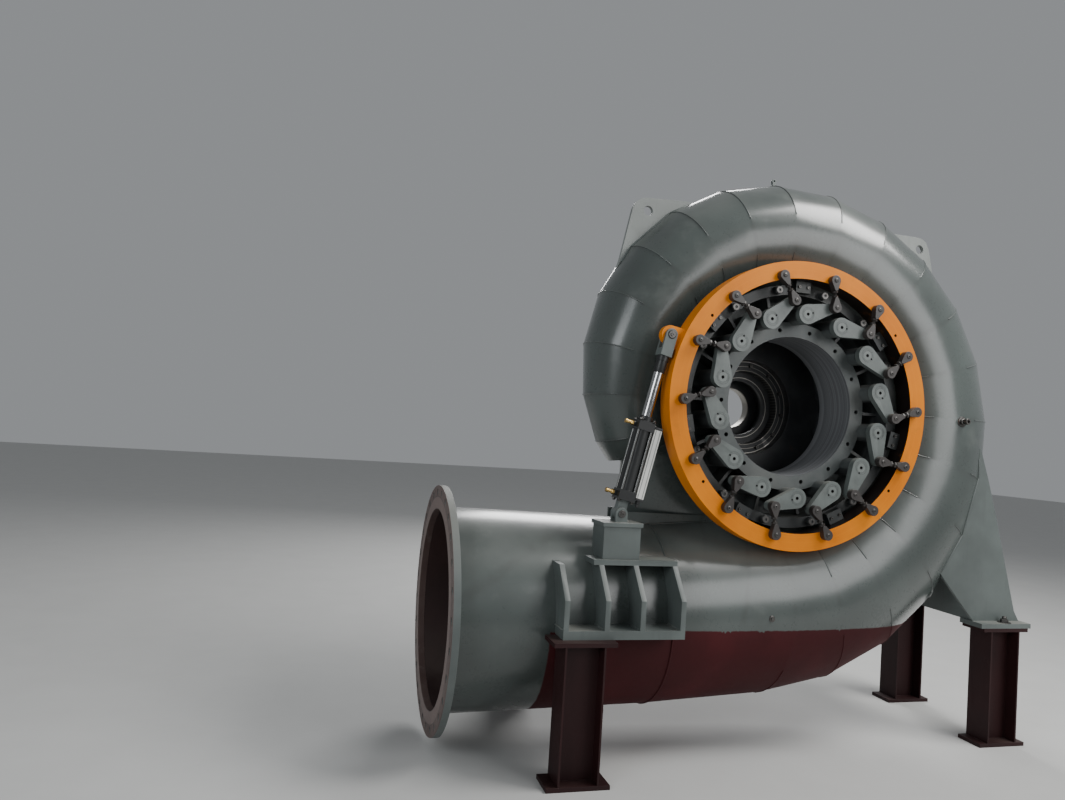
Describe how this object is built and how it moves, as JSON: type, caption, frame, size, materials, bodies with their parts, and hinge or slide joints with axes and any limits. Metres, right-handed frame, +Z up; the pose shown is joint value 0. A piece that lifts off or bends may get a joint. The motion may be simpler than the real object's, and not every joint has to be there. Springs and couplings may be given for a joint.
{
  "type": "horizontal francis turbine spiral casing with guide vane gear",
  "caption": "Spiral turbine casing with inlet pipe, covers, guide vanes moved by levers, links and a regulating ring, a servomotor and steel stands.",
  "frame": {"origin": "centre of the draft tube flange face on the front cover, on the turbine axis", "axes": "+X to the right, away from the inlet flange; +Y along the turbine axis, away from the draft tube and towards the shaft; +Z up"},
  "size_m": [3.331, 1.348, 3.1288],
  "materials": {
    "casing_paint": "satin grey-green paint over welded plate, dark red primer below the pipe's middle",
    "dark_steel": "dark primed steel",
    "bright_steel": "machined and polished steel",
    "ring_paint": "orange gloss paint",
    "lever_paint": "grey paint with machined faces",
    "link_steel": "blackened steel with dark primer",
    "sensor_aluminium": "clear anodised aluminium profile",
    "stand_paint": "dark red-brown primer"
  },
  "bodies": {
    "turbine": {"casing_bottom": "casing_paint", "casing_right": "casing_paint", "casing_top": "casing_paint", "casing_left": "casing_paint", "inlet_pipe": "casing_paint", "inlet_flange": "casing_paint", "stay_ring": "dark_steel", "front_cover": "dark_steel", "back_cover": "dark_steel", "shaft_seal_ring": "bright_steel", "ring_guides": "casing_paint", "nose_plates": "casing_paint", "lifting_plates": "casing_paint", "casing_fittings": "casing_paint", "servo_bracket": "casing_paint", "rear_bracket": "casing_paint", "servo_pedestal": "casing_paint", "inlet_stands": "stand_paint", "casing_legs": "casing_paint", "leg_stands": "stand_paint"},
    "ring": {"regulating_ring": "ring_paint"},
    "barrel": {"servo_barrel": "dark_steel", "position_sensor": "sensor_aluminium"},
    "rod": {"servo_rod": "bright_steel"},
    "vane_1": {"guide_vane_1": "lever_paint"},
    "link_1": {"link_1": "link_steel"},
    "vane_2": {"guide_vane_2": "lever_paint"},
    "link_2": {"link_2": "link_steel"},
    "vane_3": {"guide_vane_3": "lever_paint"},
    "link_3": {"link_3": "link_steel"},
    "vane_4": {"guide_vane_4": "lever_paint"},
    "link_4": {"link_4": "link_steel"},
    "vane_5": {"guide_vane_5": "lever_paint"},
    "link_5": {"link_5": "link_steel"},
    "vane_6": {"guide_vane_6": "lever_paint"},
    "link_6": {"link_6": "link_steel"},
    "vane_7": {"guide_vane_7": "lever_paint"},
    "link_7": {"link_7": "link_steel"},
    "vane_8": {"guide_vane_8": "lever_paint"},
    "link_8": {"link_8": "link_steel"},
    "vane_9": {"guide_vane_9": "lever_paint"},
    "link_9": {"link_9": "link_steel"},
    "vane_10": {"guide_vane_10": "lever_paint"},
    "link_10": {"link_10": "link_steel"},
    "vane_11": {"guide_vane_11": "lever_paint"},
    "link_11": {"link_11": "link_steel"},
    "vane_12": {"guide_vane_12": "lever_paint"},
    "link_12": {"link_12": "link_steel"},
    "vane_13": {"guide_vane_13": "lever_paint"},
    "link_13": {"link_13": "link_steel"},
    "vane_14": {"guide_vane_14": "lever_paint"},
    "link_14": {"link_14": "link_steel"}
  },
  "joints": [
    {"name": "ring_turn", "type": "hinge", "parent": "turbine", "child": "ring", "pos_m": [0, -0.054, 0], "axis": [0, -1, 0], "range_deg": [0, 12]},
    {"name": "barrel_swing", "type": "hinge", "parent": "turbine", "child": "barrel", "pos_m": [-0.958, -0.06, -0.592], "axis": [0, -1, 0], "range_deg": [0, 1]},
    {"name": "rod_slide", "type": "slide", "parent": "barrel", "child": "rod", "axis": [-0.2308, 0, -0.973], "range_m": [0, 0.17]},
    {"name": "vane_turn_1", "type": "hinge", "parent": "turbine", "child": "vane_1", "pos_m": [-0.20214, 0.12, 0.43271], "axis": [0, -1, 0], "range_deg": [0, 29]},
    {"name": "link_swing_1", "type": "hinge", "parent": "ring", "child": "link_1", "pos_m": [-0.16301, -0.1, 0.6577], "axis": [0, -1, 0], "range_deg": [0, 36]},
    {"name": "vane_turn_2", "type": "hinge", "parent": "turbine", "child": "vane_2", "pos_m": [0.00562, 0.12, 0.47757], "axis": [0, -1, 0], "range_deg": [0, 29]},
    {"name": "link_swing_2", "type": "hinge", "parent": "ring", "child": "link_2", "pos_m": [0.1385, -0.1, 0.66329], "axis": [0, -1, 0], "range_deg": [0, 36]},
    {"name": "vane_turn_3", "type": "hinge", "parent": "turbine", "child": "vane_3", "pos_m": [0.21227, 0.12, 0.42783], "axis": [0, -1, 0], "range_deg": [0, 29]},
    {"name": "link_swing_3", "type": "hinge", "parent": "ring", "child": "link_3", "pos_m": [0.41258, -0.1, 0.53751], "axis": [0, -1, 0], "range_deg": [0, 36]},
    {"name": "vane_turn_4", "type": "hinge", "parent": "turbine", "child": "vane_4", "pos_m": [0.37688, 0.12, 0.29336], "axis": [0, -1, 0], "range_deg": [0, 29]},
    {"name": "link_swing_4", "type": "hinge", "parent": "ring", "child": "link_4", "pos_m": [0.60494, -0.1, 0.30527], "axis": [0, -1, 0], "range_deg": [0, 36]},
    {"name": "vane_turn_5", "type": "hinge", "parent": "turbine", "child": "vane_5", "pos_m": [0.46684, 0.12, 0.10079], "axis": [0, -1, 0], "range_deg": [0, 29]},
    {"name": "link_swing_5", "type": "hinge", "parent": "ring", "child": "link_5", "pos_m": [0.67748, -0.1, 0.01257], "axis": [0, -1, 0], "range_deg": [0, 36]},
    {"name": "vane_turn_6", "type": "hinge", "parent": "turbine", "child": "vane_6", "pos_m": [0.46434, 0.12, -0.11175], "axis": [0, -1, 0], "range_deg": [0, 29]},
    {"name": "link_swing_6", "type": "hinge", "parent": "ring", "child": "link_6", "pos_m": [0.61584, -0.1, -0.28263], "axis": [0, -1, 0], "range_deg": [0, 36]},
    {"name": "vane_turn_7", "type": "hinge", "parent": "turbine", "child": "vane_7", "pos_m": [0.36987, 0.12, -0.30215], "axis": [0, -1, 0], "range_deg": [0, 29]},
    {"name": "link_swing_7", "type": "hinge", "parent": "ring", "child": "link_7", "pos_m": [0.43223, -0.1, -0.52184], "axis": [0, -1, 0], "range_deg": [0, 36]},
    {"name": "vane_turn_8", "type": "hinge", "parent": "turbine", "child": "vane_8", "pos_m": [0.20214, 0.12, -0.43271], "axis": [0, -1, 0], "range_deg": [0, 29]},
    {"name": "link_swing_8", "type": "hinge", "parent": "ring", "child": "link_8", "pos_m": [0.16301, -0.1, -0.6577], "axis": [0, -1, 0], "range_deg": [0, 36]},
    {"name": "vane_turn_9", "type": "hinge", "parent": "turbine", "child": "vane_9", "pos_m": [-0.00562, 0.12, -0.47757], "axis": [0, -1, 0], "range_deg": [0, 29]},
    {"name": "link_swing_9", "type": "hinge", "parent": "ring", "child": "link_9", "pos_m": [-0.1385, -0.1, -0.66329], "axis": [0, -1, 0], "range_deg": [0, 36]},
    {"name": "vane_turn_10", "type": "hinge", "parent": "turbine", "child": "vane_10", "pos_m": [-0.21227, 0.12, -0.42783], "axis": [0, -1, 0], "range_deg": [0, 29]},
    {"name": "link_swing_10", "type": "hinge", "parent": "ring", "child": "link_10", "pos_m": [-0.41258, -0.1, -0.53751], "axis": [0, -1, 0], "range_deg": [0, 36]},
    {"name": "vane_turn_11", "type": "hinge", "parent": "turbine", "child": "vane_11", "pos_m": [-0.37688, 0.12, -0.29336], "axis": [0, -1, 0], "range_deg": [0, 29]},
    {"name": "link_swing_11", "type": "hinge", "parent": "ring", "child": "link_11", "pos_m": [-0.60494, -0.1, -0.30527], "axis": [0, -1, 0], "range_deg": [0, 36]},
    {"name": "vane_turn_12", "type": "hinge", "parent": "turbine", "child": "vane_12", "pos_m": [-0.46684, 0.12, -0.10079], "axis": [0, -1, 0], "range_deg": [0, 29]},
    {"name": "link_swing_12", "type": "hinge", "parent": "ring", "child": "link_12", "pos_m": [-0.67748, -0.1, -0.01257], "axis": [0, -1, 0], "range_deg": [0, 36]},
    {"name": "vane_turn_13", "type": "hinge", "parent": "turbine", "child": "vane_13", "pos_m": [-0.46434, 0.12, 0.11175], "axis": [0, -1, 0], "range_deg": [0, 29]},
    {"name": "link_swing_13", "type": "hinge", "parent": "ring", "child": "link_13", "pos_m": [-0.61584, -0.1, 0.28263], "axis": [0, -1, 0], "range_deg": [0, 36]},
    {"name": "vane_turn_14", "type": "hinge", "parent": "turbine", "child": "vane_14", "pos_m": [-0.36987, 0.12, 0.30215], "axis": [0, -1, 0], "range_deg": [0, 29]},
    {"name": "link_swing_14", "type": "hinge", "parent": "ring", "child": "link_14", "pos_m": [-0.43223, -0.1, 0.52184], "axis": [0, -1, 0], "range_deg": [0, 36]}
  ],
  "couplings": [
    {"joint": "barrel_swing", "follows": "ring_turn", "ratio": 0.067},
    {"joint": "rod_slide", "follows": "ring_turn", "m_per_rad": 0.80153},
    {"joint": "vane_turn_1", "follows": "ring_turn", "ratio": 2.3369},
    {"joint": "link_swing_1", "follows": "ring_turn", "ratio": 2.9249},
    {"joint": "vane_turn_2", "follows": "ring_turn", "ratio": 2.3369},
    {"joint": "link_swing_2", "follows": "ring_turn", "ratio": 2.9249},
    {"joint": "vane_turn_3", "follows": "ring_turn", "ratio": 2.3369},
    {"joint": "link_swing_3", "follows": "ring_turn", "ratio": 2.9249},
    {"joint": "vane_turn_4", "follows": "ring_turn", "ratio": 2.3369},
    {"joint": "link_swing_4", "follows": "ring_turn", "ratio": 2.9249},
    {"joint": "vane_turn_5", "follows": "ring_turn", "ratio": 2.3369},
    {"joint": "link_swing_5", "follows": "ring_turn", "ratio": 2.9249},
    {"joint": "vane_turn_6", "follows": "ring_turn", "ratio": 2.3369},
    {"joint": "link_swing_6", "follows": "ring_turn", "ratio": 2.9249},
    {"joint": "vane_turn_7", "follows": "ring_turn", "ratio": 2.3369},
    {"joint": "link_swing_7", "follows": "ring_turn", "ratio": 2.9249},
    {"joint": "vane_turn_8", "follows": "ring_turn", "ratio": 2.3369},
    {"joint": "link_swing_8", "follows": "ring_turn", "ratio": 2.9249},
    {"joint": "vane_turn_9", "follows": "ring_turn", "ratio": 2.3369},
    {"joint": "link_swing_9", "follows": "ring_turn", "ratio": 2.9249},
    {"joint": "vane_turn_10", "follows": "ring_turn", "ratio": 2.3369},
    {"joint": "link_swing_10", "follows": "ring_turn", "ratio": 2.9249},
    {"joint": "vane_turn_11", "follows": "ring_turn", "ratio": 2.3369},
    {"joint": "link_swing_11", "follows": "ring_turn", "ratio": 2.9249},
    {"joint": "vane_turn_12", "follows": "ring_turn", "ratio": 2.3369},
    {"joint": "link_swing_12", "follows": "ring_turn", "ratio": 2.9249},
    {"joint": "vane_turn_13", "follows": "ring_turn", "ratio": 2.3369},
    {"joint": "link_swing_13", "follows": "ring_turn", "ratio": 2.9249},
    {"joint": "vane_turn_14", "follows": "ring_turn", "ratio": 2.3369},
    {"joint": "link_swing_14", "follows": "ring_turn", "ratio": 2.9249}
  ]
}
